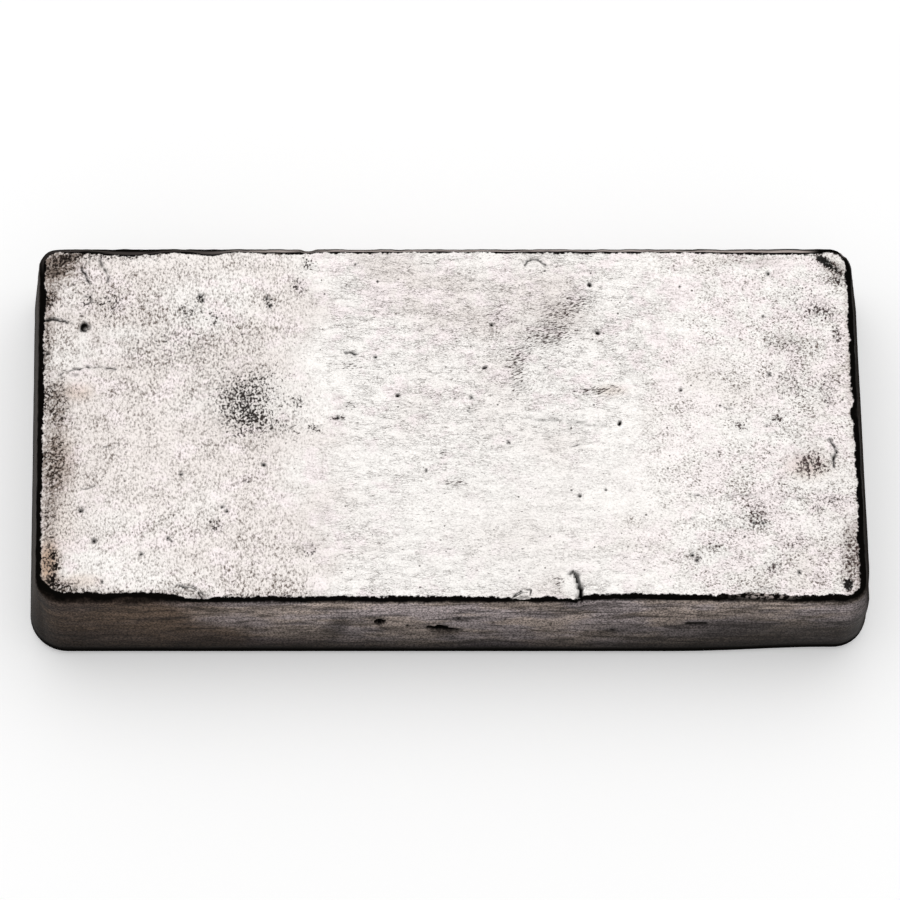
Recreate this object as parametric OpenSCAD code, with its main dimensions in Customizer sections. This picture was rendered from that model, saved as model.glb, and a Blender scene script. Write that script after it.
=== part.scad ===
// Poured silver bar of about a hundred and ten troy ounces. It lies on the wide face, which was open in
// the mould. X runs along the bar, Y across it from front to back, and Z up. The origin is the middle of
// the resting face. All lengths are in millimetres and all angles in degrees.

/* [Bar] */
// Overall length, at the widest line just above the base
bar_length = 177; // [140:0.5:240]
// Overall width, at the widest line just above the base
bar_width = 86.5; // [70:0.5:120]
// Height of the flat upper face above the resting face
bar_height = 22.4; // [17:0.1:30]
// Lean of the four sides, left by the draft of the mould
draft_angle = 6.4; // [3:0.1:10]

/* [Corners] */
// Plan radius of the front left corner, at the widest line
front_left_radius = 8; // [6.5:0.5:14]
// Plan radius of the front right corner, at the widest line
front_right_radius = 7; // [6.5:0.5:14]
// Plan radius of the back right corner, at the widest line
back_right_radius = 7; // [6.5:0.5:14]
// Plan radius of the back left corner, at the widest line
back_left_radius = 6.5; // [6.5:0.5:14]

/* [Edges] */
// Radius of the rim round the upper face
rim_radius = 1.2; // [0.6:0.1:2]
// Radius of the edge round the resting face
base_edge_radius = 1.8; // [0.8:0.1:2.4]

/* [Marks in the front side] */
// Mouth of the round blow hole
blow_hole_mouth = 2.3; // [1:0.1:4]
// Depth of the round blow hole
blow_hole_depth = 1.4; // [0.6:0.1:2]
// Place of the blow hole along the bar, from the middle
blow_hole_x = -15; // [-40:0.5:-10]
// Drop of the blow hole below the upper face
blow_hole_drop = 8.4; // [6:0.1:11]
// Length of the cold shut, the slit where two runs of metal met
cold_shut_length = 6.4; // [3:0.1:12]
// Width of the cold shut
cold_shut_width = 1.1; // [0.5:0.1:2]
// Place of the middle of the cold shut along the bar, from the middle of the bar
cold_shut_x = -2; // [-3:0.5:20]
// Drop of the cold shut below the upper face
cold_shut_drop = 11.1; // [7:0.1:12]
// Slope of the cold shut along the side
cold_shut_slope = 9; // [0:1:20]

/* [Marks in the upper face] */
// Mouth of the gas pit near the left end
gas_pit_mouth = 1.8; // [0.8:0.1:4]
// Depth of the gas pit near the left end
gas_pit_depth = 0.8; // [0.3:0.1:1.5]
// Distance of the gas pit from the left end of the bar
gas_pit_from_end = 12; // [9:0.5:30]
// Distance of the gas pit from the back of the bar
gas_pit_from_back = 21; // [10:0.5:32]
// Mouth of each pinhole
pinhole_mouth = 0.9; // [0.5:0.1:1.6]
// Depth of each pinhole
pinhole_depth = 0.5; // [0.2:0.1:0.8]
// Length of the lap, the tongue of metal that ran out over the front rim
lap_length = 6; // [3:0.1:10]
// Reach of the lap past the flat of the upper face, at its tip
lap_reach = 1.4; // [0.8:0.1:2]
// Thickness of the lap
lap_thickness = 0.7; // [0.3:0.1:1]
// Length of the crack along the right edge of the lap
lap_crack_length = 6.5; // [3:0.1:9]
// Width of the crack where it crosses the front rim
lap_crack_width = 0.7; // [0.3:0.1:1.2]
// Depth of the crack below the upper face
lap_crack_depth = 0.8; // [0.2:0.1:1.2]
// Radius of the bend in the crack
lap_crack_bend = 12; // [10:0.5:30]
// Place of the crack along the bar, from the middle
lap_crack_x = 27; // [22:0.5:40]

/* [Knocks in the rim] */
// Length of the nick in the back rim
nick_length = 4.6; // [2:0.1:8]
// Depth of the nick in the back rim
nick_depth = 0.6; // [0.2:0.1:1]
// Place of the nick along the bar, from the middle
nick_x = -29; // [-50:0.5:50]
// Length of the chip in the front rim
chip_length = 3.8; // [2:0.1:6]
// Depth of the chip in the front rim
chip_depth = 0.5; // [0.2:0.1:1]
// Place of the chip along the bar, from the middle
chip_x = 14.7; // [-40:0.1:18]
// Length of the knock on the back right corner
knock_length = 4; // [2:0.1:6]
// Depth of the knock on the back right corner
knock_depth = 0.4; // [0.2:0.1:0.8]

/* [Hidden] */
$fn = 96;

// Place of each pinhole: along the bar from its middle, and in from the back of the bar
PINHOLES = [[-10.5, 37], [9.5, 20.5], [8, 30.5], [30.5, 11], [32, 22.5], [36, 43.5]];
// A cut reaches this far past the surface that it opens
CUT_PAST = 1;
// The leaning sides lie this far inside the arcs that they join, so that the two outlines cross cleanly
CROSSING = 0.0002;
// Slope at which a knock meets the rim, halfway between its side and its top
KNOCK_SLOPE = 45;
// Colour of the metal
SILVER = [0.9, 0.88, 0.86];

// The outline of the section is measured from the widest line: in is the distance inside that line

// Height of the centre of the arc at the rim
rim_z = bar_height - rim_radius;
// The leaning side at height z
function side_in(z) =
    base_edge_radius - base_edge_radius / cos(draft_angle) + (z - base_edge_radius) * tan(draft_angle);
// The centre of the arc at the rim, which is also the edge of the flat upper face
rim_in = side_in(rim_z) + rim_radius / cos(draft_angle);
// Point at a distance from a centre, at an angle above the horizontal
function on_arc(centre, distance, angle) = centre + distance * [cos(angle), sin(angle)];

// Radius of the ball that leaves a dent of this mouth and depth in a flat face
function ball_radius(mouth, depth) = (mouth * mouth / 4 + depth * depth) / (2 * depth);

// Upright section inside the widest line: flat base, round base edge, leaning side, round rim and flat top
module edge_section(depth) {
    base_centre = [-base_edge_radius, base_edge_radius];
    rim_centre = [-rim_in, rim_z];
    polygon([
        [-depth, 0],
        [base_centre[0], 0],
        on_arc(base_centre, base_edge_radius - CROSSING, draft_angle),
        on_arc(rim_centre, rim_radius - CROSSING, draft_angle),
        [rim_centre[0], bar_height],
        [-depth, bar_height]
    ]);
    translate(base_centre) circle(base_edge_radius);
    translate(rim_centre) circle(rim_radius);
}

// Half of a section, cut off at its middle. Reach is the distance from there out to the widest line.
module half_section(reach) {
    intersection() {
        translate([reach, 0]) edge_section(reach + CUT_PAST);
        translate([0, -CUT_PAST]) square([reach + CUT_PAST, bar_height + 2 * CUT_PAST]);
    }
}

// The whole upright section across a bar of this half width
module section(reach) {
    half_section(reach);
    mirror([1, 0]) half_section(reach);
}

// The bar with its four leaning sides and edges, before its corners are rounded in plan
module square_cornered_bar() {
    intersection() {
        rotate([90, 0, 90])
            linear_extrude(height = bar_length + 2 * CUT_PAST, center = true) section(bar_width / 2);
        rotate([90, 0, 0])
            linear_extrude(height = bar_width + 2 * CUT_PAST, center = true) section(bar_length / 2);
    }
}

// Moves its children to the axis of a corner, with the quarter outside it between +X and +Y.
// The signs say which corner, and turn is the plan angle at which that quarter starts.
module at_corner(sign_x, sign_y, turn, radius) {
    translate([sign_x * (bar_length / 2 - radius), sign_y * (bar_width / 2 - radius), 0])
        rotate([0, 0, turn]) children();
}

// Each corner as its two signs, the plan angle at which its quarter starts, and its radius
CORNERS = [
    [1, 1, 0, back_right_radius],
    [-1, 1, 90, back_left_radius],
    [-1, -1, 180, front_left_radius],
    [1, -1, 270, front_right_radius]
];

// The drafted body, with a cone of the section's own profile turned into each corner
module body() {
    difference() {
        square_cornered_bar();
        for (c = CORNERS)
            at_corner(c[0], c[1], c[2], c[3])
                translate([0, 0, -CUT_PAST])
                    cube([c[3] + CUT_PAST, c[3] + CUT_PAST, bar_height + 2 * CUT_PAST]);
    }
    for (c = CORNERS)
        at_corner(c[0], c[1], c[2], c[3])
            rotate_extrude(angle = 90) half_section(c[3]);
}

// A ball that leaves a dent of this mouth and depth in the plane z = 0
module dent(mouth, depth) {
    radius = ball_radius(mouth, depth);
    translate([0, 0, radius - depth]) sphere(radius);
}

// Moves its children to a place on the leaning front side, with their Z pointing straight out of it
module on_front(x, drop) {
    z = bar_height - drop;
    translate([x, side_in(z) - bar_width / 2, z]) rotate([90 - draft_angle, 0, 0]) children();
}

// Moves its children to a place on the upper face: along the bar from its middle, and in from its back
module on_top(x, from_back) {
    translate([x, bar_width / 2 - from_back, bar_height]) children();
}

// Moves its children to the round of the rim, with their Z pointing out of it at the knock's slope
module on_rim(reach) {
    place = on_arc([reach - rim_in, rim_z], rim_radius, KNOCK_SLOPE);
    translate([place[0], 0, place[1]]) rotate([0, 90 - KNOCK_SLOPE, 0]) children();
}

// Blow hole and cold shut
module front_marks() {
    on_front(blow_hole_x, blow_hole_drop) dent(blow_hole_mouth, blow_hole_depth);
    on_front(cold_shut_x, cold_shut_drop) rotate([0, 0, -cold_shut_slope])
        slit(cold_shut_length, cold_shut_width);
}

// A straight slit with round ends, half sunk in the plane z = 0 and centred along X
module slit(length, width) {
    straight = length - width;
    rotate([0, 90, 0]) cylinder(h = straight, d = width, center = true);
    for (end = [-1, 1])
        translate([end * straight / 2, 0, 0]) sphere(d = width);
}

// Gas pit, pinholes and the crack beside the lap
module upper_marks() {
    on_top(gas_pit_from_end - bar_length / 2, gas_pit_from_back) dent(gas_pit_mouth, gas_pit_depth);
    for (place = PINHOLES)
        on_top(place[0], place[1]) dent(pinhole_mouth, pinhole_depth);
    lap_crack();
}

// Moves its children to the edge of the flat upper face, where the crack beside the lap crosses it
module at_lap(drop) {
    translate([lap_crack_x, rim_in - bar_width / 2, bar_height - drop]) children();
}

// The lap fills the round of the rim, and reaches furthest out at the middle of the crack
module lap() {
    tip_x = -lap_crack_width / 2;
    at_lap(lap_thickness)
        linear_extrude(height = lap_thickness)
            polygon([[tip_x - lap_length, 0], [tip_x, -lap_reach], [tip_x, 0]]);
}

// The crack bends to the left as it narrows to its tip in the upper face.
// It is the sliver between two equal circles that cross at the tip.
module lap_crack() {
    tip_angle = lap_crack_length / lap_crack_bend * 180 / PI;
    at_lap(lap_crack_depth)
        linear_extrude(height = lap_crack_depth + CUT_PAST)
            translate([-lap_crack_bend, 0])
                difference() {
                    circle(lap_crack_bend);
                    translate([-lap_crack_width, lap_crack_width / tan(tip_angle)]) circle(lap_crack_bend);
                }
}

// Nick in the back rim, chip in the front rim and knock on the back right corner
module rim_knocks() {
    translate([nick_x, 0, 0]) rotate([0, 0, 90]) on_rim(bar_width / 2) dent(nick_length, nick_depth);
    translate([chip_x, 0, 0]) rotate([0, 0, -90]) on_rim(bar_width / 2) dent(chip_length, chip_depth);
    at_corner(1, 1, 45, back_right_radius) on_rim(back_right_radius) dent(knock_length, knock_depth);
}

// The bar, cast in one piece
module silver_bar() {
    color(SILVER)
        difference() {
            union() {
                body();
                lap();
            }
            front_marks();
            upper_marks();
            rim_knocks();
        }
}

silver_bar();
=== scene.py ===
"""Cast skin, tarnish and studio stage for a poured silver bar.

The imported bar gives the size. The skin follows it, with the relief that a rough mould leaves: grain, flow
lines, pits, cracks and knocked edges. Lengths inside the mesh functions are in millimetres.
"""

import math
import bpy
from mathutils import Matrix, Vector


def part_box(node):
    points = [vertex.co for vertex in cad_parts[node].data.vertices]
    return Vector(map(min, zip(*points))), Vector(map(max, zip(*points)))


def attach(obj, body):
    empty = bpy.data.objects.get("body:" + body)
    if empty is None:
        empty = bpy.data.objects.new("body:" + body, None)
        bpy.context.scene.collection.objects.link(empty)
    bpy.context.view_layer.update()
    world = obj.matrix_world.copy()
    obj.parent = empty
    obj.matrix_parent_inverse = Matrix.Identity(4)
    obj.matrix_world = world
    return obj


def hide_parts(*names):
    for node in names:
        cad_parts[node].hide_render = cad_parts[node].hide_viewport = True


bl_info = {
    "name": "Poured Silver Bar",
    "version": (1, 0, 0),
    "blender": (4, 5, 0),
    "location": "3D View > Sidebar > Silver Bar",
    "description": "Dresses the packed bar with its cast skin and tarnish, and sets the studio stage",
    "category": "Object",
}

import bmesh
import bpy
import numpy as np
from bpy.props import FloatProperty, FloatVectorProperty, PointerProperty
from mathutils import Matrix, Vector, noise
from mathutils.bvhtree import BVHTree
from mathutils.kdtree import KDTree

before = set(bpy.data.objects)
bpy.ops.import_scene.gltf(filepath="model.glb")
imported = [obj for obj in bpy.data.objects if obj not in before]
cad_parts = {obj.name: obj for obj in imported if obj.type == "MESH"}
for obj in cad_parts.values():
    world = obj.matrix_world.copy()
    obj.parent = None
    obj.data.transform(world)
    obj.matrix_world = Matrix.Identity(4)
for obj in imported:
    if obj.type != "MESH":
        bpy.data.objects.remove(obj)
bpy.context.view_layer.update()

NODE = "silver_bar"
MM = 0.001

# Cells of the upper face, and steps down the rim, the side and the base edge
CELLS_ALONG = 272
CELLS_ACROSS = 124
RIM_STEPS = 5
SIDE_STEPS = 16
BASE_STEPS = 5
# The underside has one cell for this many along its edge, reached by halving twice
UNDERSIDE_CELLS = 4
# Cells near a pit or a crack are cut this many times
REFINE_CUTS = 2
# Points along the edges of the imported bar's marks lie about this far apart, in millimetres
MARK_SPACING = 0.4
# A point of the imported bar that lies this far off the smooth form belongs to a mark
MARK_LEAST = 0.05
# Points of the skin this near to a packed mark follow it
MARK_REACH = 2.0
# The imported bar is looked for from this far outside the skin, over this length
LOOK_FROM = 1.5
LOOK_LENGTH = 4.0
# Outlines of packed marks wander by this much on the upper face, and on the sides
WANDER_TOP = 0.45
WANDER_SIDE = 0.06
# Cells this near to a packed mark, or this far past a pit or crack of the skin's own, are cut
CUT_NEAR_MARK = 0.8
CUT_PAST_LINE = 0.42
# Pits and cracks fainter than this need no cut
CUT_DARKNESS = 0.5
# Cells this near to the front's two slits, or this far past the blow hole's mouth, are cut once more
CUT_NEAR_SLIT = 0.95
CUT_PAST_HOLE = 0.35
# The front side reaches this far in from the widest line
FRONT_DEPTH = 4.5
# Shares of a mark's width at which its black starts to fade, and ends
PIN_FADE = (0.26, 0.72)
CRACK_FADE = (0.15, 0.70)
HOLE_FADE = (0.48, 0.56)
SLIT_FADE = (0.35, 0.60)
# Depth of the finest grain, which is bump, in millimetres
GRAIN_DEPTH = 0.12

# Softbox above and behind the bar, in metres
SOFTBOX_SIZE = (2.2, 1.8)
SOFTBOX_PLACE = (0.10, 0.70, 1.45)
# Round floor, in metres
FLOOR_RADIUS = 3.0
FLOOR_SIDES = 96
# Width of the camera's sensor, in millimetres
SENSOR_WIDTH = 36


class BarSkin(bpy.types.PropertyGroup):
    """Sizes of the bar's edges and corners, and the colours of its metal and tarnish, and of its painted shade
    and dark reflections.
    """

    draft_angle: FloatProperty(
        name="Draft", description="Lean of the four sides", default=math.radians(6.4), subtype="ANGLE")
    front_left_radius: FloatProperty(
        name="Front left", description="Plan radius of the front left corner", default=0.008, unit="LENGTH")
    front_right_radius: FloatProperty(
        name="Front right", description="Plan radius of the front right corner", default=0.007, unit="LENGTH")
    back_right_radius: FloatProperty(
        name="Back right", description="Plan radius of the back right corner", default=0.007, unit="LENGTH")
    back_left_radius: FloatProperty(
        name="Back left", description="Plan radius of the back left corner", default=0.0065, unit="LENGTH")
    rim_radius: FloatProperty(
        name="Rim", description="Radius of the rim round the upper face", default=0.0012, unit="LENGTH")
    base_edge_radius: FloatProperty(
        name="Base edge", description="Radius of the edge round the resting face", default=0.0018,
        unit="LENGTH")
    out_of_square: FloatProperty(
        name="Out of square", description="Angle by which the ends lean from square in plan",
        default=math.radians(-0.995), subtype="ANGLE")
    silver_warm: FloatVectorProperty(
        name="Warm silver", description="Metal with a thin warm film", default=(0.882, 0.824, 0.792),
        size=3, min=0, max=1, subtype="COLOR")
    # Also the colour of the painted highlights
    silver_cool: FloatVectorProperty(
        name="Clean silver", description="Metal rubbed clean", default=(0.972, 0.942, 0.912),
        size=3, min=0, max=1, subtype="COLOR")
    silver_pink: FloatVectorProperty(
        name="Pink silver", description="Metal with a thin pink film", default=(0.972, 0.892, 0.890),
        size=3, min=0, max=1, subtype="COLOR")
    # Tarnish and film, mixed half and half, grey the grain's hollows, partly as painted shade of the relief
    tarnish: FloatVectorProperty(
        name="Tarnish", description="Brown-black tarnish in the hollows", default=(0.035, 0.026, 0.022),
        size=3, min=0, max=1, subtype="COLOR")
    tarnish_red: FloatVectorProperty(
        name="Red tarnish", description="Red-brown tarnish between the flow lines",
        default=(0.075, 0.045, 0.042), size=3, min=0, max=1, subtype="COLOR")
    # Also half of the grey in the grain's hollows, partly painted shade
    film: FloatVectorProperty(
        name="Tarnish film", description="Thin brown film round the stains", default=(0.25, 0.20, 0.17),
        size=3, min=0, max=1, subtype="COLOR")
    rust: FloatVectorProperty(
        name="Rust film", description="Rust-orange film towards the left end", default=(0.60, 0.36, 0.20),
        size=3, min=0, max=1, subtype="COLOR")
    # Black of heavy tarnish specks in the stains; also painted black: a dark reflection on the rim band, and
    # shade on the base edge and in pits, cracks and mouths
    black_tarnish_and_shade: FloatVectorProperty(
        name="Rim", description="Black tarnish on the rim", default=(0.004, 0.0035, 0.003),
        size=3, min=0, max=1, subtype="COLOR")
    # The sides' patina colours are kept dark, partly as a painted stand-in for the dark reflection of the sides
    side_grey: FloatVectorProperty(
        name="Side, grey", description="Patina in the middle of the sides", default=(0.41, 0.355, 0.335),
        size=3, min=0, max=1, subtype="COLOR")
    side_brown: FloatVectorProperty(
        name="Side, brown", description="Patina towards the left end", default=(0.135, 0.098, 0.076),
        size=3, min=0, max=1, subtype="COLOR")
    side_purple: FloatVectorProperty(
        name="Side, purple", description="Purple-grey film low on the sides", default=(0.14, 0.115, 0.13),
        size=3, min=0, max=1, subtype="COLOR")
    # Also the painted shade low on the sides and on the ends
    side_dark_streaks_and_shade: FloatVectorProperty(
        name="Side, dark", description="Dark streaks in the patina", default=(0.012, 0.009, 0.007),
        size=3, min=0, max=1, subtype="COLOR")


class BarStage(bpy.types.PropertyGroup):
    """Camera, floor and light."""

    elevation: FloatProperty(
        name="Elevation", description="Camera's height above the horizon", default=math.radians(65.2),
        subtype="ANGLE")
    distance: FloatProperty(
        name="Distance", description="From the camera to the point that it aims at", default=1.2208,
        unit="LENGTH")
    lens: FloatProperty(
        name="Lens", description="Focal length on a 36 mm sensor", default=231.02, unit="CAMERA")
    aim: FloatVectorProperty(
        name="Aim", description="Point that the camera aims at", default=(0.00039, -0.00122, 0.0112), size=3,
        unit="LENGTH")
    floor_colour: FloatVectorProperty(
        name="Floor", description="Colour of the floor", default=(0.92, 0.92, 0.92), size=3, min=0, max=1,
        subtype="COLOR")
    floor_fill: FloatProperty(
        name="Floor fill", description="Light that the floor adds to its own picture, for a white ground",
        default=0.36, min=0)
    world_back: FloatProperty(
        name="Back of the room", description="Brightness of the room behind and above the bar",
        default=0.94, min=0)
    world_front: FloatProperty(
        name="Front of the room", description="Brightness of the room in front of the bar",
        default=0.5, min=0)
    softbox_power: FloatProperty(
        name="Softbox", description="Power of the softbox above and behind the bar",
        default=6.15, min=0, unit="POWER")


# Form of the bar

class BarForm:
    """The bar's plan and section, in millimetres. Inset is the distance inside the widest line."""

    def __init__(self, skin):
        low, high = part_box(NODE)
        self.half_length = (high[0] - low[0]) / 2 / MM
        self.half_width = (high[1] - low[1]) / 2 / MM
        self.height = (high[2] - low[2]) / MM
        self.draft = skin.draft_angle
        self.rim = skin.rim_radius / MM
        self.base = skin.base_edge_radius / MM
        self.out_of_square = skin.out_of_square
        # Each corner by the signs of x and y
        self.corner = {
            (-1, -1): skin.front_left_radius / MM,
            (1, -1): skin.front_right_radius / MM,
            (1, 1): skin.back_right_radius / MM,
            (-1, 1): skin.back_left_radius / MM,
        }
        self.rim_z = self.height - self.rim
        cosine, slope = math.cos(self.draft), math.tan(self.draft)
        side_in = self.base - self.base / cosine + (self.rim_z - self.base) * slope
        self.rim_in = side_in + self.rim / cosine
        self.rings = self.section()

    @staticmethod
    def arc(inset, z, radius, turn):
        """Points of an arc of the section, round a centre at this inset and height."""
        return np.stack([inset - radius * np.cos(turn), z + radius * np.sin(turn)], 1)

    def section(self):
        """Rows of inset, height and way along the section, from the edge of the flat down to the base."""
        rim_turn = np.linspace(math.pi / 2, self.draft, RIM_STEPS + 1)
        base_turn = np.linspace(self.draft, -math.pi / 2, BASE_STEPS + 1)
        rim = self.arc(self.rim_in, self.rim_z, self.rim, rim_turn)
        base = self.arc(self.base, self.base, self.base, base_turn)
        step = np.linspace(0, 1, SIDE_STEPS + 1)[1:-1, None]
        side = rim[-1] + step * (base[0] - rim[-1])
        points = np.concatenate([rim, side, base])
        way = np.concatenate([[0], np.cumsum(np.linalg.norm(np.diff(points, axis=0), axis=1))])
        return np.column_stack([points, way])

    def inset(self, x, y):
        """Distance of each point inside the widest line, in plan."""
        radius = np.empty_like(x)
        for (sign_x, sign_y), r in self.corner.items():
            radius[(np.where(x < 0, -1, 1) == sign_x) & (np.where(y < 0, -1, 1) == sign_y)] = r
        out_x = np.abs(x) - (self.half_length - radius)
        out_y = np.abs(y) - (self.half_width - radius)
        round_corner = np.hypot(np.maximum(out_x, 0), np.maximum(out_y, 0))
        return radius - round_corner - np.minimum(np.maximum(out_x, out_y), 0)

    def corner_axis(self, signs):
        """Plan place of the axis of a corner."""
        radius = self.corner[signs]
        return np.array([signs[0] * (self.half_length - radius), signs[1] * (self.half_width - radius)])

    def on_top(self, x, y):
        """Place on the upper face."""
        return (x, y, self.height)

    def on_front(self, x, drop):
        """Place on the leaning front side, at a drop below the upper face."""
        z = self.height - drop
        return (x, float(np.interp(z, self.rings[::-1, 1], self.rings[::-1, 0])) - self.half_width, z)

    def sunk(self, points):
        """How far each point lies inside the smooth form."""
        inset = self.inset(points[:, 0], points[:, 1])
        lateral = inset - np.interp(points[:, 2], self.rings[::-1, 1], self.rings[::-1, 0])
        return np.minimum(np.minimum(lateral, self.height - points[:, 2]), points[:, 2])

    def edge_way(self, points):
        """Way along the section from the edge of the flat: negative on the upper face, positive below it."""
        inset = self.inset(points[:, 0], points[:, 1])
        down = np.interp(points[:, 2], self.rings[::-1, 1], self.rings[::-1, 2])
        flat = (points[:, 2] > self.height - 1e-4) & (inset > self.rim_in)
        return np.where(flat, self.rim_in - inset, down)


def heading(turn):
    """Plan direction at an angle."""
    return np.array([math.cos(turn), math.sin(turn)])


def walk_edge(form):
    """Points and outward directions round the edge of the flat, from the front left corner anticlockwise."""
    order = [(-1, -1), (1, -1), (1, 1), (-1, 1)]
    cells = [CELLS_ALONG, CELLS_ACROSS, CELLS_ALONG, CELLS_ACROSS]
    points, outward = [], []
    for side, count in enumerate(cells):
        facing = -math.pi / 2 + side * math.pi / 2
        first, second = order[side], order[(side + 1) % 4]
        r1, r2 = form.corner[first] - form.rim_in, form.corner[second] - form.rim_in
        c1, c2 = form.corner_axis(first), form.corner_axis(second)
        normal = heading(facing)
        start, end = c1 + r1 * normal, c2 + r2 * normal
        arc1, arc2, run = r1 * math.pi / 4, r2 * math.pi / 4, np.linalg.norm(end - start)
        for i in range(count):
            s = i / count * (arc1 + run + arc2)
            if s < arc1:
                direction = heading(facing - math.pi / 4 + s / r1)
                points.append(c1 + r1 * direction)
            elif s < arc1 + run:
                direction = normal
                points.append(start + (end - start) * (s - arc1) / run)
            else:
                direction = heading(facing + (s - arc1 - run) / r2)
                points.append(c2 + r2 * direction)
            outward.append(direction)
    return np.array(points), np.array(outward)


def fill_patch(loop, along, across):
    """Grid of points inside a closed loop, blended from its four sides."""
    front = loop[:along + 1]
    right = loop[along:along + across + 1]
    back = loop[along + across:2 * along + across + 1][::-1]
    left = np.concatenate([loop[2 * along + across:], loop[:1]])[::-1]
    u = np.linspace(0, 1, along + 1)[:, None, None]
    v = np.linspace(0, 1, across + 1)[None, :, None]
    grid = (1 - v) * front[:, None] + v * back[:, None] + (1 - u) * left[None] + u * right[None]
    grid -= (1 - u) * (1 - v) * front[0] + u * (1 - v) * front[-1] + (1 - u) * v * back[0] + u * v * back[-1]
    return grid


def loop_place(i, j, along, across):
    """Place round the loop of a grid point on the edge of a patch."""
    if j == 0:
        return i
    if i == along:
        return along + j
    if j == across:
        return 2 * along + across - i
    return 2 * (along + across) - j


class Shell:
    """Vertices and faces of the bar's skin as they are laid down."""

    def __init__(self):
        self.points = []
        self.faces = []
        self.count = 0

    def add(self, points):
        """Lays points down and gives their numbers."""
        start = self.count
        self.points.append(points)
        self.count += len(points)
        return np.arange(start, self.count)

    def loop(self, plan, z):
        """Points of a plan at one height."""
        return self.add(np.column_stack([plan, np.full(len(plan), z)]))

    def wall(self, upper, lower):
        """Quads between two loops of the same count."""
        self.faces += list(zip(upper, lower, np.roll(lower, -1), np.roll(upper, -1)))

    def halve(self, fine, coarse):
        """Triangles from a loop to one of half its count."""
        count = len(fine)
        for m in range(count // 2):
            a, b, c = fine[2 * m], fine[2 * m + 1], fine[(2 * m + 2) % count]
            p, q = coarse[m], coarse[(m + 1) % (count // 2)]
            self.faces += [(a, p, b), (b, p, q), (b, q, c)]

    def cap(self, plan, loop, along, across, z, facing_up):
        """Grid of quads inside a loop."""
        grid = fill_patch(plan, along, across)
        inner = grid[1:-1, 1:-1].reshape(-1, 2)
        inside = self.loop(inner, z)
        index = np.empty((along + 1, across + 1), int)
        index[1:-1, 1:-1] = inside.reshape(along - 1, across - 1)
        size = len(loop)
        for i in range(along + 1):
            for j in (range(across + 1) if i in (0, along) else (0, across)):
                index[i, j] = loop[loop_place(i, j, along, across) % size]
        quads = np.stack([index[:-1, :-1], index[1:, :-1], index[1:, 1:], index[:-1, 1:]], -1).reshape(-1, 4)
        self.faces += [tuple(q) for q in (quads if facing_up else quads[:, ::-1])]


def lay_shell(form):
    """The smooth skin: upper face, rim, sides, base edge and underside."""
    shell = Shell()
    edge, outward = walk_edge(form)
    loops = []
    for inset, z, _ in form.rings:
        loops.append(shell.loop(edge + outward * (form.rim_in - inset), z))
    for upper, lower in zip(loops, loops[1:]):
        shell.wall(upper, lower)
    shell.cap(edge, loops[0], CELLS_ALONG, CELLS_ACROSS, form.height, True)
    # The underside steps down to wider cells just inside the base edge
    fine, skip, inset = loops[-1], 1, form.base
    while skip < UNDERSIDE_CELLS:
        skip *= 2
        inset += skip / 2
        plan = (edge + outward * (form.rim_in - inset))[::skip]
        coarse = shell.loop(plan, 0.0)
        shell.halve(fine, coarse)
        fine = coarse
    shell.cap(plan, fine, CELLS_ALONG // skip, CELLS_ACROSS // skip, 0.0, False)
    return np.concatenate(shell.points), shell.faces
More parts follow.
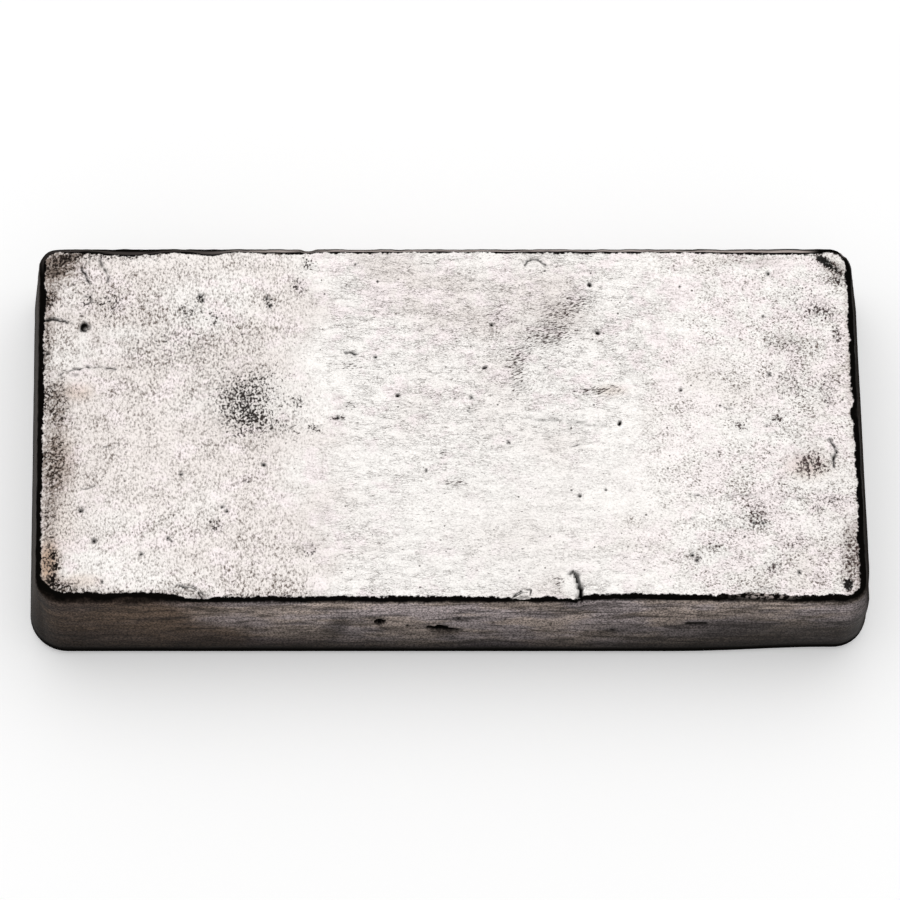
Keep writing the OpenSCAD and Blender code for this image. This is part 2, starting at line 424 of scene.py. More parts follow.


# Marks on the bar, in millimetres from its middle

# Cracks, scratches and flow lines of the upper face, whose darkness is painted shade in the grooves and painted
# shadow beside ridges and steps: width, depth, darkness, then the points of its line
TOP_CRACKS = [
    (0.36, 0.12, 0.7, [(-73.6, -5.9), (-71.9, -5.8), (-70.2, -5.5), (-68.9, -5.3)]),
    (0.36, 0.12, 0.6, [(-76.6, -15.3), (-75.0, -15.3), (-73.8, -14.6)]),
    (0.50, 0.15, 1.0, [(-58.9, -26.1), (-58.1, -27.2)]),
    (0.52, 0.22, 1.0, [(-77.5, 36.2), (-77.2, 35.3), (-76.6, 34.7), (-76.0, 33.7), (-75.5, 32.6)]),
    (0.24, 0.10, 0.6, [(-77.6, 36.2), (-76.3, 37.1), (-74.8, 37.8)]),
    (0.60, 0.18, 0.75, [(-73.0, 38.7), (-73.1, 37.4), (-72.3, 36.0), (-71.9, 35.1), (-71.7, 33.1)]),
    (0.40, 0.12, 0.85, [(-76.3, 29.5), (-75.7, 29.2), (-75.1, 28.5), (-75.9, 27.9), (-76.7, 27.2)]),
    (0.42, 0.20, 1.0, [(-85.0, 23.8), (-83.6, 24.1), (-82.5, 23.8), (-80.8, 23.4), (-79.1, 23.2)]),
    (0.62, 0.20, 1.0, [(-83.9, 24.0), (-82.8, 23.9)]),
    (0.24, 0.10, 0.6, [(-72.6, 22.2), (-69.0, 22.7), (-65.4, 23.4)]),
    (0.42, 0.12, 0.95, [(-81.5, 10.8), (-80.7, 11.5), (-77.3, 12.4), (-73.1, 12.9), (-69.7, 12.2)]),
    (0.24, 0.10, 0.5, [(-81.5, 10.2), (-79.0, 11.0), (-76.5, 11.5)]),
    (0.62, 0.22, 1.0, [(80.1, -4.1), (80.7, -5.7), (81.2, -6.9), (80.3, -8.7), (80.4, -10.3)]),
    (0.45, 0.14, 0.9, [(16.7, 36.9), (17.7, 38.0), (18.7, 38.3), (20.2, 37.5), (21.4, 37.0)]),
    (0.34, 0.25, 1.0, [(-56.4, -37.4), (-54.1, -37.9), (-52.4, -38.8), (-51.6, -40.3)]),
    (0.28, 0.15, 0.8, [(-54.6, -37.3), (-52.7, -38.1), (-51.0, -39.8)]),
    (0.36, 0.15, 1.0, [(12.5, -40.4), (13.3, -39.2), (14.6, -38.3), (15.8, -38.1), (16.5, -38.2),
                       (16.3, -39.9)]),
    (0.30, 0.12, 1.0, [(13.1, -39.9), (14.4, -38.9), (15.7, -38.8)]),
    (0.24, 0.06, 0.45, [(36.6, 24.8), (37.2, 23.9), (37.1, 22.2)]),
    (0.22, 0.06, 0.5, [(38.0, 28.8), (42.2, 29.8), (46.9, 31.4)]),
    (0.22, 0.06, 0.45, [(54.1, 30.3), (60.3, 31.0), (67.3, 31.4)]),
    (0.30, 0.08, 0.6, [(55.3, 4.5), (57.6, 3.8), (60.1, 2.9)]),
    (0.60, 0.08, 0.35, [(17.0, 0.8), (23.5, 0.5), (29.7, -0.4), (34.5, -1.3)]),
    (0.36, 0.06, 0.30, [(35.6, -15.4), (52.2, -16.5), (68.9, -17.4), (84.5, -18.1)]),
    (0.30, 0.10, 0.9, [(50.1, -16.5), (51.6, -17.0), (52.8, -17.2)]),
    (0.22, 0.06, 0.45, [(47.9, -21.5), (56.2, -22.9), (65.0, -24.7)]),
    (0.26, 0.08, 0.6, [(25.2, -5.7), (26.9, -5.5), (27.5, -4.8)]),
    (0.40, 0.12, 1.0, [(-21.5, 16.2), (-19.8, 15.9), (-18.6, 15.9)]),
]
# Inner end of the crack beside the lap, which hooks to the left, painted dark as the shade in the crack: width,
# depth, darkness and points
LAP_HOOK = [
    (0.70, 0.30, 1.0, [(27.0, -40.6), (26.9, -39.7), (26.8, -38.0)]),
    (0.72, 0.28, 0.85, [(26.8, -38.0), (26.4, -36.3), (26.1, -34.9)]),
    (0.60, 0.22, 0.75, [(26.1, -34.9), (25.7, -34.4), (25.2, -34.3), (24.7, -34.7)]),
]
# Pinholes of the upper face besides those of the imported bar, painted black as the shade inside them: x, y and
# width
TOP_PINS = [
    (-46.4, -20.4, 0.50), (-56.1, -12.0, 0.55), (-76.9, -20.3, 0.65), (-74.0, -27.1, 0.65),
    (-75.6, 22.1, 1.00), (-15.0, 15.2, 0.55), (1.5, 5.6, 0.35), (5.1, 5.9, 0.35), (4.2, 2.4, 0.40),
    (12.7, -4.5, 0.45), (27.2, -17.0, 0.60), (32.7, -15.6, 0.40), (7.3, -11.5, 0.35), (-4.8, -11.0, 0.40),
    (49.5, 31.9, 0.45), (67.0, 24.8, 0.45), (68.5, 34.8, 0.70), (67.9, 11.2, 0.55), (66.8, -0.9, 0.40),
    (63.2, -23.1, 0.50), (65.1, -23.1, 0.50), (50.1, -30.4, 0.65), (51.1, -31.5, 0.60), (72.3, -34.2, 0.55),
    (-38.7, -9.8, 0.75), (-47.4, -19.5, 0.55), (-46.4, -20.4, 0.40), (-77.0, -20.2, 0.55),
    (-74.0, -27.0, 0.55), (-58.7, -26.5, 0.50), (-64.3, -30.2, 0.55), (-72.3, -36.5, 0.60),
    (-84.3, 15.9, 0.55), (-19.1, 37.1, 0.40), (-14.5, 33.1, 0.40), (-52.2, 29.5, 0.60), (-51.5, 28.6, 0.65),
    (-37.9, 28.9, 0.55), (-37.3, 27.3, 0.60), (49.1, 7.5, 0.55), (-23.1, 1.0, 0.60),
]
PIN_DEPTH = 0.3
# Floor of the gas pit where it catches the light: x, y, half length, half width, turn in degrees, strength
PIT_GLINT = (-75.8, 22.0, 0.62, 0.40, 10, 0.75)
# Pits of the front side by x and drop below the upper face, with width and depth, painted black as the shade
# inside them
FRONT_PINS = [
    (-18.3, 11.4, 0.5, 0.3), (-10.6, 11.4, 0.5, 0.3), (-9.1, 10.1, 0.7, 0.3), (1.5, 7.2, 0.5, 0.25),
    (8.8, 8.9, 0.5, 0.25), (20.7, 9.7, 0.5, 0.25),
]
# Blow hole of the imported bar, painted black as shade right up to its mouth: x, drop and width
BLOW_HOLE = (-15.0, 8.4, 2.3)
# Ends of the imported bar's cold shut: x and drop
COLD_SHUT = [(-5.1, 10.6), (1.1, 11.6)]
# Sharp slit towards the right: the x and drop of its ends, then the length and height of its mouth, painted
# black as shade
SLIT = [(49.1, 9.4), (52.7, 9.4)]
SLIT_MOUTH = (3.8, 1.25)
# Slits of the front side, whose darkness is painted shade: width, depth, darkness, then points by x and drop
FRONT_CRACKS = [
    (1.5, 0.30, 1.0, [(-4.7, 10.8), (-3.6, 11.2), (-2.4, 11.4)]),
    (1.1, 0.25, 1.0, [(-2.4, 11.4), (-0.8, 11.6), (1.3, 11.8)]),
    (0.5, 0.15, 0.6, [(1.3, 11.8), (3.6, 12.6), (7.0, 13.3), (13.0, 13.4)]),
    (0.9, 0.35, 1.0, SLIT),
    (0.5, 0.15, 0.8, [(31.0, 13.1), (33.4, 11.9), (36.1, 11.5)]),
    (0.5, 0.12, 0.8, [(40.6, 1.9), (43.1, 1.8), (45.4, 1.8)]),
]
# Low swellings and hollows of the upper face: x, y, half length, half width, turn in degrees, height
TOP_SWELLS = [
    (-52.0, -38.2, 3.6, 1.5, -12, 0.30),
    (-57.0, -38.6, 2.2, 1.0, 10, -0.25),
    (65.0, -39.2, 5.2, 0.9, 0, -0.35),
    (61.5, -39.0, 1.1, 0.8, 0, 0.25),
    (67.5, -39.1, 1.2, 0.7, 0, 0.22),
    (23.6, -37.4, 2.6, 2.8, 12, 0.30),
    (83.4, 37.6, 1.5, 1.0, -40, 0.30),
    (81.6, 35.8, 2.6, 1.2, -42, -0.30),
    (18.8, 38.4, 2.0, 0.8, 0, -0.20),
    (-83.6, 30.0, 1.0, 2.2, -15, -0.35),
    (-82.4, 37.4, 2.8, 1.6, 40, -0.20),
    (-75.0, 8.6, 9.0, 2.4, 2, 0.16),
    (-68.0, 21.4, 5.5, 1.8, 4, 0.12),
    (-76.6, 20.0, 1.2, 5.0, -4, 0.14),
    (-79.0, -24.0, 6.0, 9.0, 0, -0.12),
    (74.0, -14.0, 7.0, 2.0, -6, 0.14),
]
# Places where the painted black of the rim, a dark reflection, runs in over the upper face: x, y, half length,
# half width, turn, reach
RIM_SPREADS = [
    (-67.0, 40.2, 6.0, 3.0, 0, 0.75), (-50.0, 40.2, 3.0, 3.0, 0, 0.65), (-36.0, 40.2, 6.0, 3.0, 0, 0.25),
    (-76.0, -40.2, 9.0, 3.0, 0, 0.95), (-62.0, -40.2, 6.0, 3.0, 0, 0.65), (-52.5, -40.2, 2.6, 3.0, 0, -0.9),
    (-84.0, -38.0, 2.4, 2.4, -45, 0.5), (64.0, -40.2, 5.0, 3.0, 0, 0.75), (80.0, -40.2, 5.0, 4.0, 0, 0.40),
    (70.0, 40.2, 12.0, 3.0, 0, 0.30), (24.4, -40.2, 2.6, 3.0, 0, -0.9), (-85.0, 29.0, 2.5, 2.4, 0, 0.5),
    (85.0, -30.0, 2.5, 6.0, 0, 0.35), (15.0, -39.9, 1.7, 1.0, 14, -1.5), (85.2, 2.0, 2.0, 1.4, 0, 0.8),
]
# Pale crumbs on the front rim: x, y, half length, half width, turn in degrees, strength
RIM_CRUMBS = [
    (64.8, -39.6, 5.6, 0.9, 0, 1.0), (14.6, -39.5, 1.6, 0.9, 10, 0.6),
]
# Speckled stains of the upper face: x, y, half length, half width, turn in degrees, strength
TOP_STAINS = [
    (-43.2, 3.4, 3.6, 5.4, 8, 0.40), (-42.8, 4.4, 6.5, 7.0, 0, 0.36), (-42.0, 5.0, 11.0, 10.0, 0, 0.26),
    (-36.0, -1.0, 6.0, 2.6, -20, 0.30), (-39.0, 9.5, 4.0, 3.0, 0, 0.20), (21.6, 20.4, 4.8, 2.7, 12, 0.66),
    (24.6, 26.0, 5.0, 2.2, 10, 0.48), (28.4, 28.8, 4.0, 1.6, 10, 0.42), (14.3, 11.5, 1.9, 4.8, 5, 0.58),
    (15.6, 15.8, 2.2, 2.0, 0, 0.42), (30.8, 7.5, 3.6, 1.1, 4, 0.62), (35.0, 7.9, 2.4, 0.8, 5, 0.45),
    (10.8, 25.8, 3.6, 2.0, 0, 0.42), (20.0, 19.0, 13.0, 10.0, 30, 0.10), (-82.3, -9.8, 2.6, 6.0, 0, 0.50),
    (-82.3, 3.6, 2.4, 5.5, 0, 0.50), (-83.4, -22.4, 1.6, 4.5, 0, 0.45), (-84.2, 14.0, 1.2, 9.0, 0, 0.50),
    (-83.1, -32.9, 2.0, 5.0, 0, 0.50), (-82.4, -30.4, 0.6, 0.8, 0, 1.1), (-81.9, -33.1, 0.7, 0.9, 0, 1.1),
    (-82.3, -35.6, 0.7, 0.7, 0, 1.0), (-80.5, -37.6, 4.0, 1.2, -8, 0.70),
    (-66.0, -39.1, 14.0, 0.9, 0, 0.60), (-40.0, -39.5, 10.0, 0.6, 0, 0.50),
    (-82.0, 36.8, 4.6, 2.6, 25, 0.36), (-70.0, 39.0, 12.0, 0.9, 0, 0.65),
    (-83.6, 28.6, 1.2, 2.2, -10, 0.55), (-78.0, 30.0, 4.0, 4.0, 0, 0.22), (-70.7, 27.9, 2.2, 2.6, 0, 0.62),
    (-75.8, 28.4, 1.6, 1.8, 0, 0.40), (-51.9, 29.1, 1.0, 0.8, 30, 1.0), (-48.7, 24.4, 1.8, 1.5, 0, 0.85),
    (-54.2, 26.0, 3.2, 2.2, 0, 0.52), (-37.5, 28.1, 0.8, 1.8, 8, 0.80), (-30.9, 31.9, 1.8, 1.8, 0, 0.78),
    (-29.1, 37.1, 1.8, 2.0, 0, 0.78), (-58.4, 18.5, 8.0, 5.0, 0, 0.30), (-31.5, 4.7, 1.6, 1.4, 0, 0.68),
    (-27.7, -1.3, 1.9, 0.9, 0, 0.75), (-23.1, 1.0, 1.6, 1.2, 0, 0.90), (-20.8, 4.0, 1.6, 1.2, 0, 0.65),
    (-20.5, 13.3, 3.4, 1.8, 0, 0.48), (-29.8, -29.3, 2.6, 2.0, 0, 0.62), (-48.7, -23.6, 1.6, 1.4, 30, 0.75),
    (-42.2, -13.8, 1.0, 0.9, 0, 0.80), (0.8, -14.2, 2.6, 1.4, 20, 0.58), (-1.6, -7.6, 1.0, 1.6, 0, 0.50),
    (3.5, -8.4, 1.6, 0.7, 0, 0.48), (82.2, 36.4, 3.4, 0.9, -40, 1.15), (80.0, 38.3, 1.8, 0.9, -30, 1.10),
    (83.2, 33.1, 1.7, 0.9, -20, 1.05), (65.4, 37.6, 4.0, 1.4, 0, 0.30), (76.1, 28.6, 4.4, 4.4, 0, 0.38),
    (80.0, 25.5, 3.4, 1.8, -10, 0.65), (72.0, 18.5, 4.8, 2.2, 0, 0.42), (82.3, 20.4, 1.0, 2.4, 0, 0.72),
    (71.5, 9.4, 4.6, 4.0, 0, 0.36), (79.4, 7.3, 1.6, 3.6, 0, 0.62), (61.0, -0.6, 1.2, 1.0, 0, 0.85),
    (69.0, 0.8, 1.2, 1.4, 0, 0.75), (71.0, -2.0, 6.0, 4.0, 0, 0.20), (75.9, -9.8, 2.6, 2.8, -20, 0.72),
    (74.4, -10.3, 4.8, 2.6, 0, 0.28), (77.1, -19.2, 3.0, 1.6, 15, 0.62), (80.0, -17.0, 2.0, 2.0, 0, 0.40),
    (63.5, -21.8, 2.4, 2.6, 0, 0.62), (66.0, -18.0, 7.0, 5.0, 0, 0.14), (54.9, -28.1, 1.8, 1.2, 0, 0.65),
    (50.6, -31.0, 1.4, 1.2, 0, 0.55), (67.0, -33.3, 1.6, 1.6, 0, 0.75), (72.0, -28.0, 3.0, 2.0, 0, 0.42),
    (83.4, -31.5, 2.8, 7.0, 0, 0.60), (82.1, -37.2, 0.9, 1.2, 0, 1.8), (60.0, -26.0, 14.0, 8.0, 0, 0.08),
    (44.0, -33.0, 16.0, 4.0, 0, 0.12), (22.3, -36.8, 1.2, 1.6, 10, 0.75),
]
# Smoky grey-brown films of the upper face: x, y, half length, half width, turn in degrees, strength
TOP_SMOKE = [
    (-82.0, 37.0, 3.6, 0.6, 23, 0.95), (-83.0, 34.7, 2.1, 0.55, 11, 0.90),
    (-80.1, 38.5, 4.1, 0.6, 15, 0.95), (-83.0, 36.4, 4.4, 3.2, 20, 1.45), (-83.8, 28.8, 1.3, 2.2, -20, 1.1),
    (-84.4, 20.0, 1.2, 9.0, 0, 0.60), (-82.4, 3.6, 2.6, 6.0, 0, 0.70), (-82.4, -9.8, 2.8, 6.5, 0, 0.95),
    (-83.6, -22.0, 1.6, 6.0, 0, 0.65), (-82.8, -33.0, 2.2, 5.5, 0, 0.55),
    (-81.0, -37.4, 4.0, 1.4, -10, 0.70), (-66.0, -39.3, 13.0, 0.8, 0, 0.40),
    (82.4, 36.2, 3.0, 1.5, -40, 0.60), (84.8, 10.0, 0.8, 26.0, 0, 0.30), (75.2, -9.6, 5.0, 3.2, 0, 0.18),
    (84.0, -31.0, 2.4, 8.0, 0, 0.62), (66.0, 37.9, 6.0, 1.2, 0, 0.30), (-42.0, 4.6, 10.0, 9.0, 0, 0.10),
    (22.0, 22.5, 7.0, 4.0, 24, 0.12), (72.0, 18.5, 5.0, 2.6, 0, 0.15), (-58.0, 22.0, 20.0, 12.0, 0, 0.06),
    (-80.0, 0.0, 9.0, 60.0, 0, 0.07),
]
# Patches rubbed bright, and painted highlights on swellings, on the lap's tongue and across the front half of
# the middle: x, y, half length, half width, turn in degrees, strength
TOP_RUBBED_AND_HIGHLIT = [
    (22.0, -18.0, 26.0, 12.0, 4, 0.7), (-6.0, -22.0, 12.0, 6.0, 0, 0.4), (-18.0, -8.0, 8.0, 3.0, 0, 0.6),
    (40.0, -14.0, 9.0, 6.0, 0, 0.5), (76.0, -14.6, 7.0, 1.6, 0, 0.9), (63.0, 12.0, 7.0, 4.0, 0, 0.6),
    (-68.0, 20.6, 5.0, 1.6, 0, 0.8), (-76.6, 18.6, 1.0, 4.0, 0, 0.7), (83.6, 37.5, 1.9, 0.7, -42, 1.5),
    (50.0, 2.0, 16.0, 9.0, 0, 0.4), (-79.6, 29.6, 2.0, 3.0, 0, 0.5), (25.0, -37.2, 1.5, 2.2, 8, 1.2),
    (12.0, -34.0, 40.0, 4.0, 0, 0.4), (-70.0, 16.6, 6.0, 1.4, 0, 0.5), (76.0, -24.0, 6.0, 2.0, 0, 0.6),
]
# Patches with a rust-orange film: x, y, half length, half width, turn in degrees, strength
TOP_ORANGE = [
    (-83.6, -32.5, 1.8, 4.8, 0, 1.0), (-77.9, 7.0, 3.0, 1.8, 0, 0.35), (74.8, -10.4, 4.0, 2.6, 0, 0.25),
    (-76.9, -36.2, 4.0, 1.4, 0, 0.30), (34.5, 7.4, 3.0, 1.2, 0, 0.25), (-81.0, -9.0, 2.6, 6.0, 0, 0.25),
    (-81.0, -24.0, 3.0, 6.0, 0, 0.15),
]
# Patches of strong grain: x, y, half length, half width, turn in degrees, strength
TOP_GRIT = [
    (-60.0, 28.0, 24.0, 12.0, 0, 0.60), (-56.0, 17.0, 12.0, 9.0, 0, 0.50),
    (20.0, 22.0, 22.0, 12.0, 15, 0.40), (78.0, 22.0, 10.0, 18.0, 0, 0.65), (71.0, 8.0, 10.0, 9.0, 0, 0.50),
    (70.0, -24.0, 18.0, 14.0, 0, 0.50), (52.0, -29.0, 9.0, 5.0, 0, 0.60),
    (-59.0, -24.0, 10.0, 6.0, 0, 0.30), (-56.0, -37.0, 30.0, 3.0, 0, 0.60),
    (40.0, 16.0, 10.0, 12.0, 0, 0.30), (-82.0, 0.0, 4.0, 40.0, 0, 0.50),
]
# Darker patches of the front side, one of them painted shade beneath the cold shut: x, drop, half length, half
# height, slope in degrees, strength
FRONT_DARK_PATCHES = [
    (-23.8, 11.0, 6.0, 2.4, -70, 0.60), (33.5, 12.4, 5.0, 1.3, -10, 0.55), (24.1, 2.6, 6.0, 1.6, 0, 0.60),
    (43.0, 2.0, 3.6, 0.8, 0, 0.45), (-1.8, 12.9, 3.2, 1.6, 9, 0.60), (60.0, 10.0, 9.0, 3.5, 0, 0.30),
    (78.0, 9.6, 8.0, 6.0, 0, 0.30), (-44.0, 5.0, 6.0, 3.0, 0, -0.20), (50.6, 10.6, 4.0, 1.2, 0, -0.15),
]
# Masks of the upper face by the names that the material reads
TOP_PATCHES = {
    "stain": TOP_STAINS, "smoke": TOP_SMOKE, "bright": TOP_RUBBED_AND_HIGHLIT, "orange": TOP_ORANGE, "grit": TOP_GRIT,
    "crumbs": RIM_CRUMBS,
}
# The metal filled the front right corner of the mould less towards the base: how far it stays in
CORNER_SHORT_X = 1.6
CORNER_SHORT_Y = 1.0
# The front rim stands back on the right of the lap
RIM_STEP = 0.5


def smooth(value, low, high):
    """0 below low, 1 above high and a soft step between them."""
    t = np.clip((value - low) / (high - low), 0, 1)
    return t * t * (3 - 2 * t)


def soft_patch(x, y, patch):
    """1 in the middle of a turned oval, falling softly to 0 outside it."""
    px, py, half_length, half_width, turn = patch[:5]
    c, s = math.cos(math.radians(turn)), math.sin(math.radians(turn))
    along, across = (x - px) * c + (y - py) * s, (y - py) * c - (x - px) * s
    return np.exp(-0.7 * ((along / half_length) ** 2 + (across / half_width) ** 2) ** 1.5)


def painted(x, y, patches):
    """Sum of soft patches, each with its own strength."""
    return sum(patch[5] * soft_patch(x, y, patch) for patch in patches)


def faded(distance, width, fade):
    """1 inside a mark of this width, falling to 0 at its edge."""
    return 1 - smooth(distance / width, *fade)


def line_distance(points, line):
    """Distance of each point from a line of straight pieces."""
    best = np.full(len(points), np.inf)
    line = np.asarray(line, float)
    if len(line) == 1:
        return np.linalg.norm(points - line[0], axis=1)
    for a, b in zip(line, line[1:]):
        t = np.clip((points - a) @ (b - a) / ((b - a) @ (b - a)), 0, 1)
        best = np.minimum(best, np.linalg.norm(points - a - t[:, None] * (b - a), axis=1))
    return best


def noise_field(points, stretch, seed):
    """Smooth noise between about -1 and 1, with features of the stretch's size along each axis."""
    scaled = points / np.asarray(stretch, float) + seed
    return np.array([noise.noise(p) for p in scaled.tolist()])


def skin_pins(form):
    """Small pits of the skin's own and the lap's crack, as width, depth, darkness and place."""
    pins = [(width, PIN_DEPTH, 1.0, [form.on_top(x, y)]) for x, y, width in TOP_PINS]
    pins += [(*size, [form.on_top(*place) for place in line]) for *size, line in LAP_HOOK]
    return pins + [(width, depth, 1.0, [form.on_front(x, drop)]) for x, drop, width, depth in FRONT_PINS]


def skin_cracks(form):
    """Cracks and slits of the skin's own, as width, depth, darkness and the points of the line."""
    cracks = [(*size, [form.on_top(*place) for place in line]) for *size, line in TOP_CRACKS]
    return cracks + [(*size, [form.on_front(*place) for place in line]) for *size, line in FRONT_CRACKS]


def packed_marks(form):
    """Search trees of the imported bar: its surface, and the points of its pits, cracks and knocks."""
    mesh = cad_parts[NODE].data
    points = np.empty(len(mesh.vertices) * 3)
    mesh.vertices.foreach_get("co", points)
    points = points.reshape(-1, 3) / MM
    faces = [tuple(p.vertices) for p in mesh.polygons]
    surface = BVHTree.FromPolygons([Vector(p) for p in points.tolist()], faces)
    sunk = np.abs(form.sunk(points)) > MARK_LEAST
    if not sunk.any():
        raise RuntimeError("the packed bar has no marks to follow")
    places = points[sunk].tolist()
    for edge in mesh.edges:
        a, b = edge.vertices
        if sunk[a] and sunk[b]:
            span = points[b] - points[a]
            steps = int(np.linalg.norm(span) / MARK_SPACING)
            places += [(points[a] + span * i / (steps + 1)).tolist() for i in range(1, steps + 1)]
    tree = KDTree(len(places))
    for i, p in enumerate(places):
        tree.insert(p, i)
    tree.balance()
    return surface, tree


def mark_distance(points, tree):
    """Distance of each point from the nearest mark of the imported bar."""
    return np.array([tree.find(p)[2] for p in points.tolist()])


def near_marks(points, tree, lines):
    """Which points lie near a pit or a crack."""
    near = mark_distance(points, tree) < CUT_NEAR_MARK
    for width, _, darkness, line in lines:
        if darkness > CUT_DARKNESS:
            near |= line_distance(points, line) < width / 2 + CUT_PAST_LINE
    return near


def refine(mesh, near):
    """Cuts the cells near pits and cracks, so that they come out round."""
    bm = bmesh.new()
    bm.from_mesh(mesh)
    bm.verts.ensure_lookup_table()
    edges = [e for e in bm.edges if near[e.verts[0].index] and near[e.verts[1].index]]
    bmesh.ops.subdivide_edges(bm, edges=edges, cuts=REFINE_CUTS, use_grid_fill=True)
    bm.normal_update()
    bm.to_mesh(mesh)
    bm.free()


def cut_to_triangles(mesh):
    """Cuts the many-sided cells beside refined places while they are flat, so that none folds."""
    bm = bmesh.new()
    bm.from_mesh(mesh)
    cells = [f for f in bm.faces if len(f.verts) > 4]
    bmesh.ops.triangulate(bm, faces=cells, quad_method="BEAUTY", ngon_method="BEAUTY")
    bm.to_mesh(mesh)
    bm.free()


def read_points(mesh):
    """Places and normals of a mesh's points."""
    points = np.empty(len(mesh.vertices) * 3)
    mesh.vertices.foreach_get("co", points)
    normals = np.empty(len(mesh.vertices) * 3)
    mesh.vertex_normals.foreach_get("vector", normals)
    return points.reshape(-1, 3), normals.reshape(-1, 3)


def follow_marks(points, normals, surface, tree, wander):
    """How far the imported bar's marks lie above the smooth skin, along the normal, with wandering outlines."""
    rise = np.zeros(len(points))
    for i in np.flatnonzero(mark_distance(points, tree) < MARK_REACH):
        n = Vector(normals[i])
        # Outlines wander on the upper face, and stay clean on the sides
        shift = Vector(wander[i]) * (WANDER_TOP if n.z > 0.5 else WANDER_SIDE)
        p = Vector(points[i]) + shift - n * n.dot(shift)
        place = surface.ray_cast(p + n * LOOK_FROM, -n, LOOK_LENGTH)[0]
        if place is not None:
            rise[i] = (place - p).dot(n)
    return rise * smooth(np.abs(rise), 0.03, 0.09)


def cast_relief(form, points, edge):
    """Waves, flow lines and grain of the cast surface, as a rise along the normal."""
    x, y, z = points.T
    top = smooth(-edge, -0.6, 1.5)
    side = smooth(edge, 0.5, 2.5) * smooth(z, 0.2, 3.0)
    rim = np.exp(-((edge - 0.7) / 1.3) ** 2)
    # Where each wave lies, with its height, the size of its features and its seed
    waves = (
        (top, 0.10, (30, 24, 30), 3.1),
        (top, 0.05, (7, 6, 7), 11.7),
        (top * flow_share(points), 0.045, (8, 2.2, 8), 23.9),
        (top, 0.045, (1.9, 1.7, 1.9), 41.3),
        (side, 0.07, (16, 16, 3.0), 57.7),
        (side, 0.035, (3.2, 3.2, 1.8), 71.1),
        (rim, 0.13, (4.5, 4.5, 40), 83.3),
        (rim, 0.12, (1.7, 1.7, 40), 97.9),
    )
    rise = sum(share * height * noise_field(points, size, seed) for share, height, size, seed in waves)
    for patch in TOP_SWELLS:
        rise += patch[5] * soft_patch(x, y, patch) * smooth(z, 14, 17)
    # The open face of the mould is a little wavy, but never lower than its edge
    under = smooth(-z, -0.05, 0.0) * smooth(form.inset(x, y), 2.5, 9.0)
    rise -= under * 0.12 * (1 + noise_field(points, (14, 12, 14), 119.0))
    return rise


def short_corner(form, points):
    """Shift in plan at the front right corner, which the metal filled less towards the base."""
    x, y, z = points.T
    low = (1 - smooth(z, 0.0, 16.0)) * (1 - smooth(form.inset(x, y), 1.0, 14.0))
    in_x = -CORNER_SHORT_X * smooth(-y, 24, 41) * smooth(x, 60, 84)
    in_y = CORNER_SHORT_Y * smooth(x, 46, 80) * smooth(-y, 20, 38)
    return np.stack([in_x * low, in_y * low, np.zeros_like(x)], 1)


def stepped_rim(points):
    """Shift of the front rim on the right of the lap, where it stands back."""
    x, y, z = points.T
    along = smooth(x, 26.9, 27.4) * (1 - smooth(x, 40, 78))
    back = RIM_STEP * along * smooth(z, 9.0, 21.5) * smooth(-y, 36, 39.5)
    return np.stack([np.zeros_like(x), back, np.zeros_like(x)], 1)


def flow_share(points):
    """How far the metal ran along the bar: 0 at the stippled left end, 1 in the middle and to the right."""
    wander = 9 * noise_field(points, (18, 18, 18), 131.0)
    return smooth(points[:, 0] + wander, -38, -16)


def paint(mesh, name, values):
    """Keeps a mask on the mesh, one value for each point."""
    layer = mesh.attributes.new(name, "FLOAT", "POINT")
    layer.data.foreach_set("value", np.asarray(values, np.float32))


def refined_shell(form, tree, lines):
    """The smooth skin as a mesh, with finer cells near its marks."""
    points, faces = lay_shell(form)
    mesh = bpy.data.meshes.new("silver_bar_skin")
    mesh.from_pydata(points.tolist(), [], [[int(i) for i in f] for f in faces])
    mesh.validate()
    refine(mesh, near_marks(points, tree, lines))
    points = read_points(mesh)[0]
    hole_x, hole_drop, hole_width = BLOW_HOLE
    near = line_distance(points, [form.on_front(hole_x, hole_drop)]) < hole_width / 2 + CUT_PAST_HOLE
    for line in (COLD_SHUT, SLIT):
        near |= line_distance(points, [form.on_front(*end) for end in line]) < CUT_NEAR_SLIT
    refine(mesh, near)
    cut_to_triangles(mesh)
    return mesh


def front_mouths(x, drop):
    """Painted black shade in the mouths of the blow hole and the slit, by x and drop below the upper face."""
    hole_x, hole_drop, hole_width = BLOW_HOLE
    slit_x, slit_drop = np.mean(SLIT, 0)
    from_slit = np.hypot((x - slit_x) / SLIT_MOUTH[0], (drop - slit_drop) / SLIT_MOUTH[1])
    hole = faded(np.hypot(x - hole_x, drop - hole_drop), hole_width, HOLE_FADE)
    return np.maximum(hole, faded(from_slit, 1.0, SLIT_FADE))


